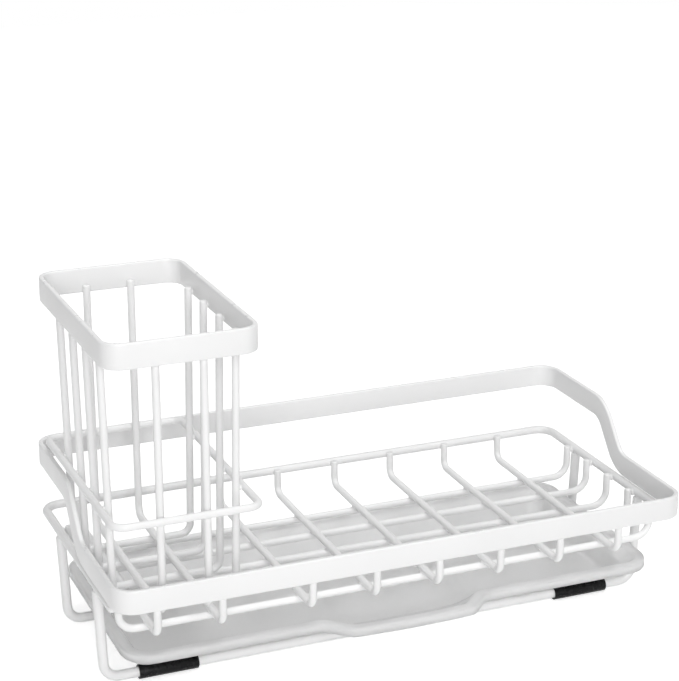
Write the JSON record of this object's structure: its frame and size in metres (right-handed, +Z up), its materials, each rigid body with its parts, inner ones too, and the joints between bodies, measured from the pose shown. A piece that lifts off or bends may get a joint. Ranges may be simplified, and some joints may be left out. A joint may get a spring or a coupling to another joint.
{
  "type": "sink caddy",
  "caption": "Coated wire sink caddy with a raised rear rim, a tall lift-out basket for a brush and a slide-out drip tray, standing on rubber-sleeved leg frames.",
  "frame": {"origin": "on the surface the caddy stands on, under the middle of the basket", "axes": "+Z up, +X to the right along the caddy's length, -Y to the front, where the rim is low and the tray pulls out"},
  "size_m": [0.24, 0.118, 0.148],
  "materials": {
    "coated_steel": "smooth white coating, satin",
    "foot_rubber": "black, half gloss",
    "tray_plastic": "frosted, pale grey, slightly see-through"
  },
  "bodies": {
    "frame": {"main_rim": "coated_steel", "rail": "coated_steel", "floor_long_wire_1": "coated_steel", "floor_long_wire_2": "coated_steel", "floor_long_wire_3": "coated_steel", "floor_long_wire_4": "coated_steel", "floor_long_wire_5": "coated_steel", "floor_cross_wire_1": "coated_steel", "floor_cross_wire_2": "coated_steel", "floor_cross_wire_3": "coated_steel", "floor_cross_wire_4": "coated_steel", "floor_cross_wire_5": "coated_steel", "floor_cross_wire_6": "coated_steel", "floor_cross_wire_7": "coated_steel", "floor_cross_wire_8": "coated_steel", "front_leg_frame": "coated_steel", "back_leg_frame": "coated_steel", "front_left_sleeve": "foot_rubber", "front_right_sleeve": "foot_rubber", "back_left_sleeve": "foot_rubber", "back_right_sleeve": "foot_rubber"},
    "drip_tray": {"drip_tray": "tray_plastic"},
    "brush_basket": {"brush_rim": "coated_steel", "brush_ring": "coated_steel", "brush_width_wire_1": "coated_steel", "brush_width_wire_2": "coated_steel", "brush_width_wire_3": "coated_steel", "brush_width_wire_4": "coated_steel", "brush_depth_wire_1": "coated_steel", "brush_depth_wire_2": "coated_steel"}
  },
  "joints": [
    {"name": "brush_basket_lift", "type": "slide", "parent": "frame", "child": "brush_basket", "axis": [0, 0, 1], "range_m": [0, 0.1]},
    {"name": "drip_tray_slide", "type": "slide", "parent": "frame", "child": "drip_tray", "axis": [0, -1, 0], "range_m": [0, 0.12]}
  ]
}
